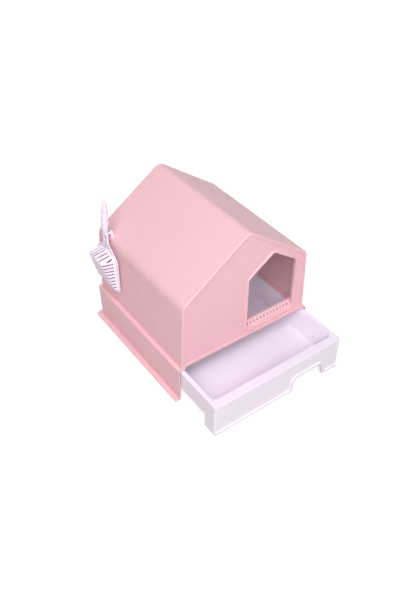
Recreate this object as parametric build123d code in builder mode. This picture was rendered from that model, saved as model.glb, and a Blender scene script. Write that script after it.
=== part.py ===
from build123d import *
import os
from math import atan2, cos, degrees, pi, radians, sin, sqrt, tan

# Drawer litter box: a house-shaped hood on a low base, a pull-out litter drawer and a hung scoop.
# Millimetres, +Z up, the front (drawer side) faces -Y. The origin is the centre of the base's
# underside, on the floor.

# --- hood ---------------------------------------------------------------------------------------
hood_width = 400.0          # over the side walls at the bottom edge
hood_depth = 402.0          # front to rear at the bottom edge
eave_height = 192.0         # bottom edge to the sharp eave corner
ridge_height = 329.5        # bottom edge to the sharp ridge corner
side_draft = 1.85           # lean of the side walls, degrees
end_draft = 1.3             # lean of the front and rear walls, degrees
hood_wall = 3.0
ridge_radius = 22.0
eave_radius = 30.0
rear_edge_radius = 5.0
rim_width = 8.0             # rim around the front panel
rim_edge = 1.5
panel_recess = 3.0          # panel face behind the rim's face
panel_ledge = 4.0           # ledge that the panel is pushed against

# --- front panel and entrance -------------------------------------------------------------------
panel_thickness = 3.0
panel_clearance = 0.25      # around the panel's edge
entrance_width = 153.0
entrance_side_margin = 43.0  # entrance to the hood's right side
entrance_bottom = 19.0      # over the hood's bottom edge
entrance_eave_drop = 8.0    # entrance's eave below the hood's eave
entrance_rise = 53.0        # entrance's eave to its apex
entrance_radius = 9.0
bead_width = 6.0            # raised bead round the entrance
bead_height = 2.5
bead_edge = 1.2
jamb_depth = 2.0            # entrance flange behind the panel
jamb_thickness = 2.4

# --- slotted sill in the foot of the entrance ---------------------------------------------------
sill_clearance = 0.3
sill_recess = 1.5           # sill's foot behind the panel's face
sill_step = 3.0             # upright part below the slope
sill_rise = 22.0            # entrance bottom to the sill's flat top
sill_run = 8.0              # how far the slope leans in
sill_top_depth = 5.0
sill_wall = 2.4
sill_pocket_depth = 12.0    # flange behind the panel, round the sill
sill_pocket_height = 25.0
sill_slot_count = 13
sill_slot_width = 3.8
sill_slot_length = 7.5
sill_slot_margin = 9.0      # entrance side to the first slot's centre

# --- base ---------------------------------------------------------------------------------------
base_height = 107.0
base_side_margin = 11.5     # base beyond the hood's sides
base_end_margin = 3.0       # base beyond the hood's front and rear
base_draft = 1.2            # the walls narrow towards the floor
base_wall = 3.0
base_corner_radius = 12.0
ledge_thickness = 3.0
ledge_width = 21.0          # from the outer edge inwards, over the drawer's rim
ledge_edge_radius = 4.0
locating_rib_height = 8.0
locating_rib_thickness = 2.4
locating_clearance = 0.6    # rib to the inside of the hood
foot_width = 11.0           # foot flange beyond the top edge, both sides
foot_rear = 6.0
foot_thickness = 5.0
foot_edge = 1.5
deck_thickness = 3.0
runner_height = 2.0
runner_width = 5.0
runner_edge = 8.0           # outer runners in from the base's walls
under_rib_thickness = 2.2
under_rib_count = 3         # each way
under_rib_depth = 8.0       # ribs below the deck
hub_radius = 16.0           # round pad under the deck's centre, down to the floor

# --- drawer -------------------------------------------------------------------------------------
drawer_extension = 144.0    # pulled out by this much at rest
drawer_set_back = 1.0       # face behind the base's front edge when shut
drawer_side_gap = 0.8       # to the base's walls at the floor
drawer_top_gap = 2.7        # rim below the ledge
drawer_rear_gap = 13.0      # rear to the base's rear wall when shut
tray_height = 55.8          # rim to the underside
tray_skin = 2.5
tray_rim = 12.0             # flat rim at the sides and the rear
tray_front_rim = 23.0
tray_corner_radius = 15.0
tray_lean = 24.0            # walls lean in by this much at the floor
tray_floor_radius = 12.0
tray_foot_edge = 7.0        # chamfer round the tray's underside
drawer_corner_radius = 6.0
drawer_edge_radius = 1.6
runner_gap = 0.3            # underside over the runners
front_depth = 40.0          # hollow front of the drawer
front_floor_gap = 3.0
front_wall = 3.0
lip_width = 9.0             # lip along the front's lower edge
lip_depth = 4.0
lip_edge = 1.2
notch_left = 46.0           # finger notch, right of the drawer's centre
notch_right = 150.0
notch_top = 48.0            # above the floor
notch_slant = 10.0          # lean of the notch's right end
notch_radius = 13.0
notch_foot_radius = 5.0
front_rib_count = 4
front_rib_thickness = 2.0

# --- scoop, hanging with its mouth to the hood's left wall --------------------------------------
scoop_wall_gap = 3.2        # rim to the wall at the scoop's tip
scoop_from_rear = 64.0      # its centre line in from the hood's rear
peg_over_eave = 20.0        # peg over the sharp eave corner
scoop_tip_width = 108.0     # over the rim
scoop_shoulder_width = 104.0
scoop_rim = 5.0
scoop_rim_thickness = 2.6
scoop_tip_drop = 166.0      # peg to the tip
scoop_shoulder_drop = 62.0  # peg to the widest part of the shoulders
scoop_back_drop = 26.0      # peg to the foot of the neck
bowl_top_width = 90.0       # over the bowl's shoulders
bowl_shoulder_drop = 53.0   # peg to the bowl's shoulders
bowl_crown_drop = 43.0      # peg to the middle of the bowl's back
scoop_tip_radius = 9.0
shoulder_radius = 22.0
neck_corner_radius = 12.0
bowl_depth_tip = 10.0
bowl_depth_back = 47.0
bowl_side_lean = 15.0       # lean of the bowl's walls, degrees
bowl_back_lean = 8.0
bowl_tip_lean = 30.0
bowl_wall = 2.4
bowl_shoulder_radius = 14.0
bowl_tip_radius = 7.0
bowl_edge_radius = 7.0
slot_width = 5.0
slot_pitch = 10.5
slot_first = 12.5           # tip to the first slot
slot_row_count = 9
slot_margin = 8.0           # uncut band below the rim
back_slot_pitch = 11.6
back_slot_count = 7
back_slot_gap = 4.0         # last cross slot to the back slots
spine_width = 4.0           # lengthwise ribs left between the slots
spine_spacing = 21.0
spine_count = 3
neck_width = 23.0
neck_thickness = 5.0
neck_opening_width = 14.0
neck_opening_drop = 19.0    # peg to the opening's foot
neck_opening_gap = 0.5      # peg to the opening's top
horn_from_peg = 5.0         # peg to the handle's foot
horn_length = 97.0
horn_foot_radius = 6.5
horn_radius = 10.8          # at its thickest
horn_tip_radius = 3.2
horn_thickest = 0.35        # share of the length up to the thickest place
horn_lobes = 4
horn_groove = 0.84          # groove radius over lobe radius
horn_lead = 76.0            # length of one full turn of the twist
horn_lean = 3.8             # towards the hood, degrees
horn_steps = 12
horn_cap = 2.2

# --- hook on the hood's left eave ---------------------------------------------------------------
hook_width = 11.0           # post along the eave
hook_depth = 6.5
hook_from_eave = 7.8        # centre in from the sharp eave corner
hook_top = 3.6              # post over the peg's centre
hook_edge = 1.2
hook_boss_height = 0.4
hook_boss_radius = 8.5
stud_radius = 2.6
stud_length = 7.0
stud_clearance = 0.15
peg_radius = 3.0
peg_tilt = 5.0
peg_overhang = 2.5          # peg beyond the scoop's neck

# --- places shared by several pieces ------------------------------------------------------------
base_width = hood_width + 2 * base_side_margin
base_depth = hood_depth + 2 * base_end_margin
drawer_length = base_depth - base_wall - drawer_set_back - drawer_rear_gap
entrance_offset = hood_width / 2 - entrance_side_margin - entrance_width / 2
entrance_eave = eave_height - entrance_eave_drop
entrance_apex = entrance_eave + entrance_rise
peg_height = eave_height + peg_over_eave
scoop_y = hood_depth / 2 - scoop_from_rear
hood_front_y = -hood_depth / 2
hood_rear_y = hood_depth / 2
base_front_y = -base_depth / 2
base_rear_y = base_depth / 2
trim = 12.0                 # outlines run on by this much and are trimmed

front_plane = Plane(
    origin=(0, hood_front_y, base_height),
    x_dir=(1, 0, 0),
    z_dir=(0, -cos(radians(end_draft)), sin(radians(end_draft))),
)
rear_plane = Plane(
    origin=(0, hood_rear_y, base_height),
    x_dir=(-1, 0, 0),
    z_dir=(0, cos(radians(end_draft)), sin(radians(end_draft))),
)
hood_section = Plane(origin=(0, 0, base_height), x_dir=(1, 0, 0), z_dir=(0, -1, 0))
panel_plane = front_plane.offset(-panel_recess)
front_wall_depth = panel_recess + panel_thickness + hood_wall


def wall_half_width(height):
    """Half width over the hood's side walls, at a height over its bottom edge."""
    return hood_width / 2 - height * tan(radians(side_draft))


eave_half_width = wall_half_width(eave_height)
roof_rise = ridge_height - eave_height
roof_length = sqrt(eave_half_width**2 + roof_rise**2)

drawer_rim_z = base_height - ledge_thickness - drawer_top_gap
tray_bottom_z = drawer_rim_z - tray_height
runner_top_z = tray_bottom_z - runner_gap
deck_top_z = runner_top_z - runner_height
base_inner_foot = base_width / 2 - base_wall - base_height * tan(radians(base_draft))
drawer_half = base_inner_foot - drawer_side_gap
drawer_front_y = base_front_y + drawer_set_back - drawer_extension
plinth_y = base_front_y + drawer_set_back + front_depth + 2.0


def house_outline(foot):
    """House-shaped outline; foot is how far it runs on below the bottom edge."""
    with BuildSketch() as outline:
        with BuildLine():
            Polyline(
                (-wall_half_width(-foot), -foot),
                (wall_half_width(-foot), -foot),
                (eave_half_width, eave_height),
                (0, ridge_height),
                (-eave_half_width, eave_height),
                close=True,
            )
        make_face()
        fillet(outline.vertices().group_by(Axis.Y)[1], radius=eave_radius)
        fillet(outline.vertices().sort_by(Axis.Y)[-1], radius=ridge_radius)
    return outline.sketch


def entrance_outline():
    """Five-sided entrance, with its corners rounded."""
    left = entrance_offset - entrance_width / 2
    right = entrance_offset + entrance_width / 2
    with BuildSketch() as outline:
        with BuildLine():
            Polyline(
                (left, entrance_bottom),
                (right, entrance_bottom),
                (right, entrance_eave),
                (entrance_offset, entrance_apex),
                (left, entrance_eave),
                close=True,
            )
        make_face()
        fillet(outline.vertices(), radius=entrance_radius)
    return outline.sketch


def tapered_profile(half_width, depth, lean):
    """Profile that hangs below its plane's X axis and narrows downwards by a lean on each side."""
    with BuildSketch() as profile:
        with BuildLine():
            Polyline(
                (-half_width, 0), (half_width, 0), (half_width - lean, -depth), (lean - half_width, -depth),
                close=True,
            )
        make_face()
    return profile.sketch


def grown(sketch, amount):
    """The same outline, moved out (or in) by an amount."""
    with BuildSketch() as result:
        add(sketch)
        offset(amount=amount, kind=Kind.INTERSECTION, mode=Mode.REPLACE)
    return result.sketch


# --- hood shell ---------------------------------------------------------------------------------
roof_dir = Vector(eave_half_width / roof_length, 0, roof_rise / roof_length)
roof_normal = Vector(-roof_rise / roof_length, 0, eave_half_width / roof_length)
eave_corner = Vector(-eave_half_width, scoop_y, base_height + eave_height)
hook_seat = eave_corner + roof_dir * (hook_from_eave / roof_dir.X) + roof_normal * hook_boss_height
hook_plane = Plane(origin=hook_seat, x_dir=(0, 1, 0), z_dir=roof_normal)

with BuildPart() as hood_cavity:
    with BuildSketch(hood_section):
        add(grown(house_outline(3 * trim), -hood_wall))
    extrude(amount=hood_depth / 2, both=True)
    split(bisect_by=front_plane.offset(-front_wall_depth), keep=Keep.BOTTOM)
    split(bisect_by=rear_plane.offset(-hood_wall), keep=Keep.BOTTOM)

with BuildPart() as hood_shell:
    with BuildSketch(hood_section):
        add(house_outline(trim))
    extrude(amount=hood_depth / 2 + trim, both=True)
    split(bisect_by=front_plane, keep=Keep.BOTTOM)
    split(bisect_by=rear_plane, keep=Keep.BOTTOM)
    front_edges = hood_shell.faces().sort_by(Axis.Y)[0].edges()
    rear_edges = hood_shell.faces().sort_by(Axis.Y)[-1].edges()
    chamfer(front_edges.filter_by(lambda edge: edge.center().Z > base_height), length=rim_edge)
    fillet(rear_edges.filter_by(lambda edge: edge.center().Z > base_height), radius=rear_edge_radius)
    with BuildSketch(hook_plane):
        Circle(hook_boss_radius)
    extrude(amount=-eave_radius)
    add(hood_cavity.part, mode=Mode.SUBTRACT)
    with BuildSketch(front_plane):
        add(grown(house_outline(0), -rim_width))
    extrude(amount=-(panel_recess + panel_thickness), mode=Mode.SUBTRACT)
    with BuildSketch(front_plane):
        add(grown(house_outline(0), -(rim_width + panel_ledge)))
    extrude(amount=-2 * front_wall_depth, mode=Mode.SUBTRACT)
    with BuildSketch(hook_plane):
        Circle(stud_radius + stud_clearance)
    extrude(amount=-(stud_length + 1), mode=Mode.SUBTRACT)
    split(bisect_by=Plane.XY.offset(base_height), keep=Keep.TOP)

# --- front panel with the entrance --------------------------------------------------------------
with BuildPart() as hood_front:
    with BuildSketch(panel_plane):
        add(grown(house_outline(0), -(rim_width + panel_clearance)))
    extrude(amount=-panel_thickness)
    with BuildSketch(panel_plane):
        add(grown(entrance_outline(), bead_width))
    extrude(amount=bead_height)
    bead_face = hood_front.faces().sort_by(Axis(front_plane.origin, front_plane.z_dir))[-1]
    chamfer(bead_face.edges(), length=bead_edge)
    with BuildSketch(panel_plane.offset(-panel_thickness)):
        add(grown(entrance_outline(), jamb_thickness))
    extrude(amount=-jamb_depth)
    with BuildSketch(panel_plane.offset(-panel_thickness)):
        add(grown(entrance_outline(), jamb_thickness))
        with Locations((entrance_offset, entrance_bottom + sill_pocket_height / 2)):
            Rectangle(2 * entrance_width, sill_pocket_height + 2 * jamb_thickness, mode=Mode.INTERSECT)
    extrude(amount=-sill_pocket_depth)
    with BuildSketch(panel_plane.offset(bead_height)):
        add(entrance_outline())
    extrude(amount=-(bead_height + panel_thickness + sill_pocket_depth), mode=Mode.SUBTRACT)

# --- slotted sill -------------------------------------------------------------------------------
sill_plane = Plane(
    origin=panel_plane.from_local_coords((entrance_offset, entrance_bottom, -sill_recess)),
    x_dir=-front_plane.z_dir,
    z_dir=(1, 0, 0),
)
with BuildPart() as entrance_sill:
    with BuildSketch(sill_plane):
        with BuildLine():
            Polyline(
                (0, 0),
                (0, sill_step),
                (sill_run, sill_rise),
                (sill_run + sill_top_depth, sill_rise),
                (sill_run + sill_top_depth, sill_rise - sill_wall),
                (sill_run + sill_wall / 2, sill_rise - sill_wall),
                (sill_wall, sill_step - sill_wall / 2),
                (sill_wall, 0),
                close=True,
            )
        make_face()
    extrude(amount=entrance_width / 2, both=True)
    with BuildSketch(panel_plane):
        add(grown(entrance_outline(), -sill_clearance))
    extrude(amount=-(sill_recess + sill_run + sill_top_depth + 1), mode=Mode.INTERSECT)
    sill_slot_span = entrance_width - 2 * sill_slot_margin
    sill_slot_y = entrance_bottom + (sill_step + sill_rise) / 2
    with BuildSketch(panel_plane):
        with Locations((entrance_offset, sill_slot_y)):
            with GridLocations(sill_slot_span / (sill_slot_count - 1), 0, sill_slot_count, 1):
                Rectangle(sill_slot_width, sill_slot_length)
    extrude(amount=-(sill_recess + sill_run + sill_wall), mode=Mode.SUBTRACT)

# --- base ---------------------------------------------------------------------------------------
base_inner_rear = base_rear_y - base_wall
base_foot_rear = base_inner_rear - base_height * tan(radians(base_draft))


def bay_sketch(front, rear, width, radius):
    """Rectangle from front to rear with its rear corners rounded."""
    with BuildSketch() as sketch:
        with Locations((0, (front + rear) / 2)):
            Rectangle(width, rear - front)
        fillet(sketch.vertices().group_by(Axis.Y)[-1], radius=radius)
    return sketch.sketch


def base_form(inset, front):
    """Base from its top to the floor as a solid, drawn in by an inset, with a flat front."""
    lean = base_height * tan(radians(base_draft))
    rear_wall = Plane(
        origin=(0, base_rear_y - inset, base_height),
        x_dir=(1, 0, 0),
        z_dir=(0, cos(radians(base_draft)), -sin(radians(base_draft))),
    )
    with BuildPart() as form:
        with BuildSketch(Plane(origin=(0, front, base_height), x_dir=(1, 0, 0), z_dir=(0, -1, 0))):
            add(tapered_profile(base_width / 2 - inset, base_height, lean))
        extrude(amount=-2 * base_depth)
        split(bisect_by=rear_wall, keep=Keep.BOTTOM)
        leaning = form.edges().filter_by(lambda edge: abs(edge.tangent_at().Z) > 0.9)
        fillet(leaning.filter_by(lambda edge: edge.center().Y > 0), radius=base_corner_radius - inset)
    return form.part


base_outside = base_form(0, base_front_y)
with BuildPart() as base_bay:
    add(base_form(base_wall, base_front_y - trim))
    split(bisect_by=Plane.XY.offset(base_height - ledge_thickness), keep=Keep.BOTTOM)
    split(bisect_by=Plane.XY.offset(deck_top_z), keep=Keep.TOP)

with BuildPart() as base_housing:
    add(base_outside)
    top_edges = base_housing.faces().sort_by(Axis.Z)[-1].edges()
    fillet(top_edges.filter_by(lambda edge: edge.center().Y > base_front_y + 1), radius=ledge_edge_radius)
    # foot flange
    with BuildSketch():
        add(bay_sketch(base_front_y, base_rear_y + foot_rear, base_width + 2 * foot_width, base_corner_radius))
    extrude(amount=foot_thickness)
    foot_top = base_housing.edges().filter_by_position(Axis.Z, foot_thickness - 0.01, foot_thickness + 0.01)
    chamfer(foot_top.filter_by(lambda edge: abs(edge.center().X) > base_width / 2 + 1), length=foot_edge)
    # drawer bay
    bay_radius = base_corner_radius - base_wall
    add(base_bay.part, mode=Mode.SUBTRACT)
    # opening over the tray
    with BuildSketch(Plane.XY.offset(base_height)):
        add(
            bay_sketch(
                base_front_y - trim, base_rear_y - ledge_width, base_width - 2 * ledge_width, bay_radius
            )
        )
    extrude(amount=-ledge_thickness, mode=Mode.SUBTRACT)
    # space for the drawer's front, down to the floor
    with BuildSketch():
        with Locations((0, (base_front_y - trim + plinth_y) / 2)):
            Rectangle(2 * base_inner_foot, plinth_y - base_front_y + trim)
    extrude(amount=deck_top_z + deck_thickness, mode=Mode.SUBTRACT)
    # hollow underside
    with BuildSketch():
        add(bay_sketch(plinth_y + base_wall, base_foot_rear, 2 * base_inner_foot, bay_radius))
    extrude(amount=deck_top_z - deck_thickness, mode=Mode.SUBTRACT)
    under_depth = base_foot_rear - plinth_y
    with BuildSketch(Plane.XY.offset(deck_top_z - deck_thickness - under_rib_depth)):
        with Locations((0, (base_foot_rear + plinth_y) / 2)):
            with GridLocations(2 * base_inner_foot / (under_rib_count + 1), 0, under_rib_count, 1):
                Rectangle(under_rib_thickness, under_depth)
            with GridLocations(0, under_depth / (under_rib_count + 1), 1, under_rib_count):
                Rectangle(2 * base_inner_foot, under_rib_thickness)
    extrude(amount=under_rib_depth + deck_thickness / 2)
    with BuildSketch():
        Circle(hub_radius)
    extrude(amount=deck_top_z - deck_thickness / 2)
    # runners on the deck
    runner_x = base_inner_foot - runner_edge
    runner_length = base_foot_rear - plinth_y - bay_radius
    with BuildSketch(Plane.XY.offset(deck_top_z - deck_thickness / 2)):
        with Locations((0, plinth_y + runner_length / 2)):
            with GridLocations(runner_x, 0, 3, 1):
                Rectangle(runner_width, runner_length)
    extrude(amount=runner_height + deck_thickness / 2)
    # rib that locates the hood
    rib_half = hood_width / 2 - hood_wall - locating_clearance
    rib_rear = hood_rear_y - hood_wall - locating_clearance
    rib_front = hood_front_y + front_wall_depth + locating_clearance
    with BuildSketch(Plane.XY.offset(base_height)):
        with Locations((0, (rib_front + rib_rear) / 2)):
            Rectangle(2 * rib_half, rib_rear - rib_front)
        with Locations((0, (rib_front + rib_rear) / 2 - locating_rib_thickness)):
            Rectangle(
                2 * (rib_half - locating_rib_thickness), rib_rear - rib_front, mode=Mode.SUBTRACT
            )
    extrude(amount=locating_rib_height)

# --- litter drawer ------------------------------------------------------------------------------
drawer_rear_y = drawer_front_y + drawer_length
mouth_front_y = drawer_front_y + tray_front_rim
mouth_rear_y = drawer_rear_y - tray_rim


def tray_form(skin):
    """Tray hollow as a solid with a sharp floor edge, grown by a skin on every side but the top."""
    half_width = drawer_half - tray_rim + skin
    half_length = (mouth_rear_y - mouth_front_y) / 2 + skin
    depth = tray_height - tray_skin + skin
    lean = depth * tray_lean / tray_height
    centre = (0, (mouth_front_y + mouth_rear_y) / 2, drawer_rim_z)
    with BuildPart() as form:
        with BuildSketch(Plane(origin=centre, x_dir=(1, 0, 0), z_dir=(0, -1, 0))):
            add(tapered_profile(half_width, depth, lean))
        extrude(amount=half_length, both=True)
        with BuildSketch(Plane(origin=centre, x_dir=(0, 1, 0), z_dir=(1, 0, 0))):
            add(tapered_profile(half_length, depth, lean))
        extrude(amount=half_width, both=True, mode=Mode.INTERSECT)
        leaning = form.edges().filter_by(lambda edge: abs(edge.tangent_at().Z) > 0.5)
        fillet(leaning, radius=tray_corner_radius + skin)
    return form.part


def front_outline(reach):
    """Front wall seen from the front, less the finger notch; reach widens it at the sides and top."""
    with BuildSketch() as outline:
        with BuildLine():
            Polyline(
                (-drawer_half - reach, front_floor_gap),
                (notch_left, front_floor_gap),
                (notch_left, notch_top),
                (notch_right - notch_slant, notch_top),
                (notch_right, front_floor_gap),
                (drawer_half + reach, front_floor_gap),
                (drawer_half + reach, drawer_rim_z + reach),
                (-drawer_half - reach, drawer_rim_z + reach),
                close=True,
            )
        make_face()
        inner = outline.vertices().filter_by(lambda v: abs(v.Y - notch_top) < 0.01)
        fillet(inner, radius=notch_radius)
        feet = outline.vertices().filter_by(
            lambda v: abs(v.Y - front_floor_gap) < 0.01 and notch_left - 1 < v.X < notch_right + 1
        )
        fillet(feet, radius=notch_foot_radius)
    return outline.sketch


drawer_face = Plane(origin=(0, drawer_front_y, 0), x_dir=(1, 0, 0), z_dir=(0, -1, 0))
with BuildPart() as tray_hollow:
    add(tray_form(0))
    fillet(tray_hollow.faces().sort_by(Axis.Z)[0].edges(), radius=tray_floor_radius)

with BuildPart() as tray_outside:
    add(tray_form(tray_skin))
    chamfer(tray_outside.faces().sort_by(Axis.Z)[0].edges(), length=tray_foot_edge)

with BuildPart() as litter_drawer:
    drawer_centre_y = (drawer_front_y + drawer_rear_y) / 2
    with BuildSketch(Plane.XY.offset(tray_bottom_z)):
        with Locations((0, drawer_centre_y)):
            RectangleRounded(2 * drawer_half, drawer_length, drawer_corner_radius)
    extrude(amount=tray_height)
    with BuildSketch(Plane.XY.offset(front_floor_gap)) as front_foot:
        with Locations((0, drawer_front_y + front_depth / 2)):
            Rectangle(2 * drawer_half, front_depth)
        fillet(front_foot.vertices().group_by(Axis.Y)[0], radius=drawer_corner_radius)
    extrude(amount=tray_bottom_z - front_floor_gap)
    fillet(litter_drawer.faces().sort_by(Axis.Z)[-1].edges(), radius=drawer_edge_radius)
    # hollow under the rim, open below
    hollow_front = drawer_front_y + front_wall
    with BuildSketch(Plane.XY.offset(front_floor_gap)):
        with Locations((0, (hollow_front + drawer_rear_y - tray_skin) / 2)):
            Rectangle(2 * (drawer_half - tray_skin), drawer_rear_y - tray_skin - hollow_front)
    extrude(amount=drawer_rim_z - tray_skin - front_floor_gap, mode=Mode.SUBTRACT)
    # stiffening ribs behind the front
    rib_pitch = 2 * drawer_half / (front_rib_count + 1)
    with BuildSketch(Plane.XY.offset(tray_bottom_z)):
        with Locations((0, drawer_front_y + front_depth / 2)):
            with GridLocations(rib_pitch, 0, front_rib_count, 1):
                Rectangle(front_rib_thickness, front_depth - front_wall)
    extrude(amount=tray_height - tray_skin)
    add(tray_outside.part)
    add(tray_hollow.part, mode=Mode.SUBTRACT)
    # finger notch and the lip along the lower edge
    with BuildSketch(drawer_face):
        with Locations((0, (drawer_rim_z + front_floor_gap) / 2)):
            Rectangle(3 * drawer_half, drawer_rim_z - front_floor_gap)
        add(front_outline(trim), mode=Mode.SUBTRACT)
    extrude(amount=-(front_wall + 1), mode=Mode.SUBTRACT)
    with BuildSketch(drawer_face):
        add(front_outline(0))
        add(grown(front_outline(3 * trim), -lip_width), mode=Mode.SUBTRACT)
    extrude(amount=lip_depth)
    lip_face = litter_drawer.faces().sort_by(Axis.Y)[0]
    chamfer(lip_face.edges(), length=lip_edge)

# --- scoop --------------------------------------------------------------------------------------
peg_z = base_height + peg_height
scoop_rim_x = -wall_half_width(peg_height - scoop_tip_drop) - scoop_wall_gap
bowl_angle = degrees(atan2(bowl_depth_back - bowl_depth_tip, scoop_tip_drop - bowl_crown_drop))
scoop_plane = Plane(origin=(scoop_rim_x, scoop_y, peg_z), x_dir=(0, -1, 0), z_dir=(-1, 0, 0))
scoop_side = Plane(origin=(scoop_rim_x, scoop_y, peg_z), x_dir=(-1, 0, 0), z_dir=(0, 1, 0))
bowl_bottom = Plane(
    origin=(scoop_rim_x - bowl_depth_tip, scoop_y, peg_z - scoop_tip_drop),
    x_dir=(0, -1, 0),
    z_dir=(-cos(radians(bowl_angle)), 0, -sin(radians(bowl_angle))),
)
tip_half = scoop_tip_width / 2
shoulder_half = scoop_shoulder_width / 2
neck_half = neck_width / 2


def bowl_wall_plane(start, end, lean):
    """Plane through an edge of the rim's outline, leaning in by an angle and facing outwards."""
    run = (scoop_plane.from_local_coords(end) - scoop_plane.from_local_coords(start)).normalized()
    facing = run.cross(scoop_plane.z_dir) * cos(radians(lean)) + scoop_plane.z_dir * sin(radians(lean))
    return Plane(origin=scoop_plane.from_local_coords(start), z_dir=facing)


def bowl_form(inset, skin):
    """The bowl as a solid, its walls drawn in by an inset and its bottom by a skin."""
    tip_left = (-tip_half, -scoop_tip_drop)
    tip_right = (tip_half, -scoop_tip_drop)
    shoulder_left = (-bowl_top_width / 2, -bowl_shoulder_drop)
    shoulder_right = (bowl_top_width / 2, -bowl_shoulder_drop)
    crown = (0, -bowl_crown_drop)
    with BuildPart() as form:
        with BuildSketch(scoop_plane):
            with Locations((0, -(scoop_tip_drop + scoop_back_drop) / 2)):
                Rectangle(2 * scoop_tip_width, 2 * scoop_tip_drop)
        extrude(amount=2 * bowl_depth_back)
        for start, end, lean in (
            (tip_left, tip_right, bowl_tip_lean),
            (tip_right, shoulder_right, bowl_side_lean),
            (shoulder_right, crown, bowl_back_lean),
            (crown, shoulder_left, bowl_back_lean),
            (shoulder_left, tip_left, bowl_side_lean),
        ):
            split(bisect_by=bowl_wall_plane(start, end, lean).offset(-inset), keep=Keep.BOTTOM)
        split(bisect_by=bowl_bottom.offset(-skin), keep=Keep.BOTTOM)
        leaning = form.edges().filter_by(lambda edge: abs(edge.tangent_at().X) > 0.6)
        fillet(leaning.sort_by(Axis.Z)[2:4], radius=bowl_shoulder_radius - skin)
        leaning = form.edges().filter_by(lambda edge: abs(edge.tangent_at().X) > 0.6)
        fillet(leaning.sort_by(Axis.Z)[0:2], radius=bowl_tip_radius - skin)
        bottom = form.faces().filter_by(lambda face: face.normal_at().dot(bowl_bottom.z_dir) > 0.999)
        fillet(bottom.edges(), radius=bowl_edge_radius - skin)
    return form.part


slot_row_z = [peg_z - scoop_tip_drop + slot_first + row * slot_pitch for row in range(slot_row_count)]
back_slot_foot = slot_row_z[-1] + slot_width / 2 + back_slot_gap
with BuildPart() as slot_cutter:
    with BuildSketch(scoop_side):
        for height in slot_row_z:
            with Locations((slot_margin + bowl_depth_back, height - peg_z)):
                Rectangle(2 * bowl_depth_back, slot_width)
    extrude(amount=scoop_tip_width / 2 + trim, both=True)
    with BuildSketch(scoop_plane):
        with Locations((0, -scoop_tip_drop)):
            with GridLocations(spine_spacing, 0, spine_count, 1):
                Rectangle(spine_width, 4 * scoop_tip_drop)
    extrude(amount=3 * bowl_depth_back, mode=Mode.SUBTRACT)
    with BuildSketch(scoop_plane.offset(slot_margin)):
        with Locations((0, (back_slot_foot - peg_z) / 2)):
            with GridLocations(back_slot_pitch, 0, back_slot_count, 1):
                Rectangle(slot_width, peg_z - back_slot_foot)
    extrude(amount=2 * bowl_depth_back)

with BuildPart() as scoop:
    with BuildSketch(scoop_plane) as rim_sketch:
        with BuildLine():
            Polyline(
                (-tip_half, -scoop_tip_drop),
                (tip_half, -scoop_tip_drop),
                (shoulder_half, -scoop_shoulder_drop),
                (neck_half, -scoop_back_drop),
                (neck_half, horn_from_peg),
                (-neck_half, horn_from_peg),
                (-neck_half, -scoop_back_drop),
                (-shoulder_half, -scoop_shoulder_drop),
                close=True,
            )
        make_face()
        fillet(rim_sketch.vertices().group_by(Axis.Y)[0], radius=scoop_tip_radius)
        shoulders = rim_sketch.vertices().filter_by(lambda v: abs(v.Y + scoop_shoulder_drop) < 0.01)
        fillet(shoulders, radius=shoulder_radius)
        neck_corners = rim_sketch.vertices().filter_by(lambda v: abs(v.Y + scoop_back_drop) < 0.01)
        fillet(neck_corners, radius=neck_corner_radius)
    extrude(amount=scoop_rim_thickness)
    with BuildSketch(scoop_plane):
        with Locations((0, (horn_from_peg - scoop_back_drop) / 2)):
            Rectangle(neck_width, horn_from_peg + scoop_back_drop)
    extrude(amount=neck_thickness)
    add(bowl_form(scoop_rim - bowl_wall, 0))
    add(bowl_form(scoop_rim, bowl_wall), mode=Mode.SUBTRACT)
    add(slot_cutter.part, mode=Mode.SUBTRACT)
    # opening that goes over the peg
    opening_top = peg_radius + neck_opening_gap
    with BuildSketch(scoop_plane):
        with Locations((0, (opening_top - neck_opening_drop) / 2)):
            Rectangle(neck_opening_width, opening_top + neck_opening_drop)
    extrude(amount=neck_thickness, mode=Mode.SUBTRACT)
    # twisted, tapered handle
    for step in range(horn_steps + 1):
        share = step / horn_steps
        if share < horn_thickest:
            radius = horn_radius - (horn_radius - horn_foot_radius) * (1 - share / horn_thickest) ** 2
        else:
            rest = (share - horn_thickest) / (1 - horn_thickest)
            radius = horn_radius - (horn_radius - horn_tip_radius) * rest**2
        turn = -2 * pi * share * horn_length / horn_lead
        centre_x = scoop_rim_x - neck_thickness / 2 + share * horn_length * tan(radians(horn_lean))
        centre_z = peg_z + horn_from_peg + share * horn_length
        points = []
        for k in range(2 * horn_lobes):
            reach = radius if k % 2 == 0 else radius * horn_groove
            angle = turn + pi * k / horn_lobes
            points.append((reach * cos(angle), reach * sin(angle)))
        with BuildSketch(Plane(origin=(centre_x, scoop_y, centre_z))):
            with BuildLine():
                Polyline(*points, close=True)
            make_face()
    loft(ruled=True)
    with BuildSketch(Plane(origin=(centre_x, scoop_y, centre_z))):
        Circle(horn_tip_radius * horn_groove)
    extrude(amount=horn_cap, taper=25)

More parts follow.
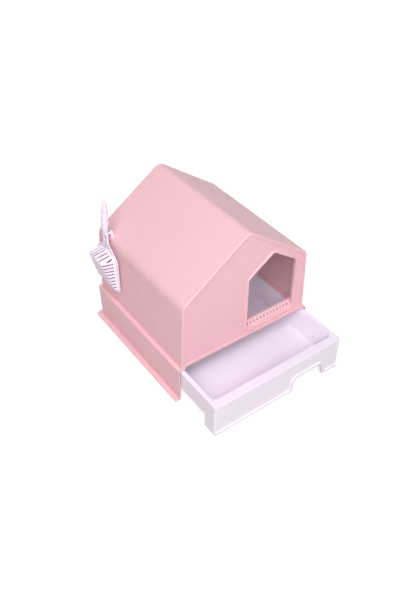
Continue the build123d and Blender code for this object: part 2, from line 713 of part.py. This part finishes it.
# --- scoop hook ---------------------------------------------------------------------------------
peg_dir = Vector(-cos(radians(peg_tilt)), 0, sin(radians(peg_tilt)))
neck_mid = Vector(scoop_rim_x - neck_thickness / 2, scoop_y, peg_z)
peg_end = neck_mid + peg_dir * (neck_thickness / 2 + peg_overhang)
hook_centre_x = eave_corner.X + hook_from_eave
with BuildPart() as scoop_hook:
    with BuildSketch(Plane.XY.offset(peg_z + hook_top)):
        with Locations((hook_centre_x, scoop_y)):
            Rectangle(hook_depth, hook_width)
    extrude(amount=-(peg_over_eave + hook_top))
    chamfer(scoop_hook.faces().sort_by(Axis.Z)[-1].edges(), length=hook_edge)
    split(bisect_by=hook_plane, keep=Keep.TOP)
    with BuildSketch(hook_plane):
        Circle(stud_radius)
    extrude(amount=-stud_length)
    with BuildSketch(Plane(origin=peg_end, x_dir=(0, 1, 0), z_dir=peg_dir)):
        Circle(peg_radius)
    extrude(amount=(peg_end.X - hook_centre_x) / cos(radians(peg_tilt)))
    chamfer(scoop_hook.faces().sort_by(Axis.X)[0].edges(), length=0.6)

# --- labels and files ---------------------------------------------------------------------------
hood_shell.part.label = "hood_shell"
hood_front.part.label = "hood_front"
entrance_sill.part.label = "entrance_sill"
base_housing.part.label = "base_housing"
litter_drawer.part.label = "litter_drawer"
scoop.part.label = "scoop"
scoop_hook.part.label = "scoop_hook"

os.makedirs("parts", exist_ok=True)
export_step(hood_shell.part, "parts/hood_shell.step")
export_step(hood_front.part, "parts/hood_front.step")
export_step(entrance_sill.part, "parts/entrance_sill.step")
export_step(base_housing.part, "parts/base_housing.step")
export_step(litter_drawer.part, "parts/litter_drawer.step")
export_step(scoop.part, "parts/scoop.step")
export_step(scoop_hook.part, "parts/scoop_hook.step")
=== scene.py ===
import bpy
import bmesh
from mathutils import Matrix, Vector

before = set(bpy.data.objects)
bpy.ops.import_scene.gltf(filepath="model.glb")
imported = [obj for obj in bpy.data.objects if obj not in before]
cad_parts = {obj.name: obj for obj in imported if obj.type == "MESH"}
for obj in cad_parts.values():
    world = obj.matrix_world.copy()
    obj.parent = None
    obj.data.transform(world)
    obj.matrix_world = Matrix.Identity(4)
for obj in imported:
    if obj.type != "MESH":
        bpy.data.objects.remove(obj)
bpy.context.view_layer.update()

print("stage: frame loaded", sorted(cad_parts))

mmPerMetre = 1000
pureWhite = (1, 1, 1, 1)


def linearColor(hexCode):
    code = hexCode.lstrip("#")
    out = []
    for k in (0, 2, 4):
        c = int(code[k:k + 2], 16) / 255
        out.append(c / 12.92 if c <= 0.04045 else ((c + 0.055) / 1.055) ** 2.4)
    return (*out, 1.0)


def emptyTree(owner):
    owner.use_nodes = True
    owner.node_tree.nodes.clear()
    return owner.node_tree


def addNode(tree, kind, values=None, links=None, **settings):
    node = tree.nodes.new(kind)
    for name, value in settings.items():
        setattr(node, name, value)
    for name, value in (values or {}).items():
        node.inputs[name].default_value = value
    for name, source in (links or {}).items():
        tree.links.new(source, node.inputs[name])
    return node


# polypropylene, injection moulded in a spark-eroded tool: a soft satin with a broad dim highlight
pinkPolypropylene = {
    "color": "#F1C1C7",
    "colorShift": "#EDBBC1",
    "roughness": (0.42, 0.52),
    "ior": 1.49,
    "flowMm": 60,  # width of the slow marks that the melt leaves
    "grainMm": 0.9,  # such a grain is near 0.3 mm, drawn coarser so that a close view shows it
    "grainHeightMm": 0.05,
    "grainStrength": 0.35,
}

# the same polymer in white, from a smoother tool: a little glossier, with a lower, wider grain
whitePolypropylene = {
    "color": "#F1E7F3",
    "colorShift": "#EDE2F0",
    "roughness": (0.30, 0.40),
    "ior": 1.49,
    "flowMm": 60,
    "grainMm": 1.4,
    "grainHeightMm": 0.02,
    "grainStrength": 0.35,
}


def mouldedPlastic(name, look):
    material = bpy.data.materials.new(name)
    tree = emptyTree(material)
    place = addNode(tree, "ShaderNodeTexCoord").outputs["Object"]
    # the melt's flow marks shift the colour a little
    flow = addNode(tree, "ShaderNodeTexNoise",
                   {"Scale": mmPerMetre / look["flowMm"], "Detail": 2.0, "Roughness": 0.5},
                   {"Vector": place})
    blend = addNode(tree, "ShaderNodeMix",
                    {6: linearColor(look["color"]), 7: linearColor(look["colorShift"])},
                    {0: flow.outputs["Fac"]}, data_type="RGBA")
    # the grain that the tool leaves
    grain = addNode(tree, "ShaderNodeTexNoise",
                    {"Scale": mmPerMetre / look["grainMm"], "Detail": 1.0},
                    {"Vector": place})
    bump = addNode(tree, "ShaderNodeBump",
                   {"Strength": look["grainStrength"],
                    "Distance": look["grainHeightMm"] / mmPerMetre},
                   {"Height": grain.outputs["Fac"]})
    # the gloss varies with the same flow marks: most of the noise lies between 0.3 and 0.7
    gloss = addNode(tree, "ShaderNodeMapRange",
                    {"From Min": 0.3, "From Max": 0.7,
                     "To Min": look["roughness"][0], "To Max": look["roughness"][1]},
                    {"Value": flow.outputs["Fac"]})
    shader = addNode(tree, "ShaderNodeBsdfPrincipled", {"IOR": look["ior"]},
                     {"Base Color": blend.outputs[2], "Roughness": gloss.outputs[0],
                      "Normal": bump.outputs["Normal"]})
    addNode(tree, "ShaderNodeOutputMaterial", None, {"Surface": shader.outputs["BSDF"]})
    return material


def dress(node, material):
    piece = bpy.data.objects[node]
    piece.data.materials.clear()
    piece.data.materials.append(material)


pinkShell = mouldedPlastic("pinkPolypropylene", pinkPolypropylene)
whiteShell = mouldedPlastic("whitePolypropylene", whitePolypropylene)
for node in ("base_housing", "hood_shell", "hood_front", "entrance_sill"):
    dress(node, pinkShell)
for node in ("litter_drawer", "scoop", "scoop_hook"):
    dress(node, whiteShell)
print("stage: plastics on")


# 1 where the camera, a reflection or a clear material sees the background, else 0
def seenDirectly(tree):
    path = addNode(tree, "ShaderNodeLightPath")
    mirrored = addNode(tree, "ShaderNodeMath", None,
                       {0: path.outputs["Is Camera Ray"], 1: path.outputs["Is Glossy Ray"]},
                       operation="MAXIMUM")
    return addNode(tree, "ShaderNodeMath", None,
                   {0: mirrored.outputs[0], 1: path.outputs["Is Transmission Ray"]},
                   operation="MAXIMUM").outputs[0]


# studio paper: white where it is seen, with the object's shadow kept. The light that it throws
# back onto the object is that of a pale warm grey.
paper = {
    "color": "#C8BAB5",
    "shownColor": "#A0A0A0",  # the part of the seen white that a shadow can darken
    "glowNear": 0.8,  # the rest of it, by the object
    "glowFar": 1.0,  # and further off, so that the paper's edge doesn't show
    "glowFades": (0.9, 2.6),  # metres from the object's middle
    "halfSize": 6.0,
}


def paperFloor(look):
    material = bpy.data.materials.new("paperFloor")
    tree = emptyTree(material)
    pale = addNode(tree, "ShaderNodeBsdfDiffuse", {"Color": linearColor(look["color"])})
    shown = addNode(tree, "ShaderNodeBsdfDiffuse", {"Color": linearColor(look["shownColor"])})
    coords = addNode(tree, "ShaderNodeTexCoord")
    away = addNode(tree, "ShaderNodeVectorMath", None, {0: coords.outputs["Object"]},
                   operation="LENGTH")
    fade = addNode(tree, "ShaderNodeMapRange",
                   {"From Min": look["glowFades"][0], "From Max": look["glowFades"][1],
                    "To Min": look["glowNear"], "To Max": look["glowFar"]},
                   {"Value": away.outputs["Value"]})
    glow = addNode(tree, "ShaderNodeEmission", {"Color": pureWhite},
                   {"Strength": fade.outputs[0]})
    bright = addNode(tree, "ShaderNodeAddShader", None,
                     {0: shown.outputs[0], 1: glow.outputs[0]})
    mixed = addNode(tree, "ShaderNodeMixShader", None,
                    {0: seenDirectly(tree), 1: pale.outputs[0], 2: bright.outputs[0]})
    addNode(tree, "ShaderNodeOutputMaterial", None, {"Surface": mixed.outputs[0]})
    mesh = bpy.data.meshes.new("studioFloor")
    bm = bmesh.new()
    bmesh.ops.create_grid(bm, x_segments=1, y_segments=1, size=look["halfSize"])
    bm.to_mesh(mesh)
    bm.free()
    mesh.materials.append(material)
    floor = bpy.data.objects.new("studioFloor", mesh)
    bpy.context.collection.objects.link(floor)


paperFloor(paper)
print("stage: floor laid")

lampTint = "#F6FBFF"
lampAim = (0, 0, 0.2)
keyLamp = {"start": (-1.16, -1.86, 2.62), "size": 3.2, "power": 146.0}
# a weak lamp behind keeps the back and the right side from going dark
backLamp = {"start": (0.75, 2.6, 0.35), "size": 1.6, "power": 24.0}


def softLamp(name, start, size, power):
    lamp = bpy.data.lights.new(name, "AREA")
    lamp.color = linearColor(lampTint)[:3]
    lamp.energy = power
    lamp.size = size
    holder = bpy.data.objects.new(name, lamp)
    holder.location = start
    aim = Vector(lampAim) - Vector(start)
    holder.rotation_euler = aim.to_track_quat("-Z", "Y").to_euler()
    holder.visible_camera = False
    bpy.context.collection.objects.link(holder)


softLamp("keyLamp", **keyLamp)
softLamp("backLamp", **backLamp)

# a faint warm sky for the shaded sides, white where it is seen
sky = {"color": "#FFF4F3", "strength": 0.21, "shownStrength": 1.0}

world = bpy.data.worlds.new("paleStudio")
bpy.context.scene.world = world
skyTree = emptyTree(world)
faint = addNode(skyTree, "ShaderNodeBackground",
                {"Color": linearColor(sky["color"]), "Strength": sky["strength"]})
white = addNode(skyTree, "ShaderNodeBackground",
                {"Color": pureWhite, "Strength": sky["shownStrength"]})
backdrop = addNode(skyTree, "ShaderNodeMixShader", None,
                   {0: seenDirectly(skyTree), 1: faint.outputs[0], 2: white.outputs[0]})
addNode(skyTree, "ShaderNodeOutputWorld", None, {"Surface": backdrop.outputs[0]})

# the camera stands where the photograph was taken from
photoView = {
    "place": (-0.8294, -1.1301, 1.3254),
    "right": (0.81134, -0.58446, 0.01139),
    "down": (-0.37992, -0.54201, -0.74959),
    "lens": 39.86,
    "clipStart": 0.05,
}

camera = bpy.data.cameras.new("photoCamera")
camera.lens = photoView["lens"]
camera.clip_start = photoView["clipStart"]
cameraHolder = bpy.data.objects.new("photoCamera", camera)
right = Vector(photoView["right"]).normalized()
back = right.cross(-Vector(photoView["down"])).normalized()
up = back.cross(right)
turn = Matrix((right, up, back)).transposed().to_4x4()
cameraHolder.matrix_world = Matrix.Translation(photoView["place"]) @ turn
bpy.context.collection.objects.link(cameraHolder)
bpy.context.scene.camera = cameraHolder
bpy.context.scene.view_settings.view_transform = "Standard"
print("stage: camera and lamps set")
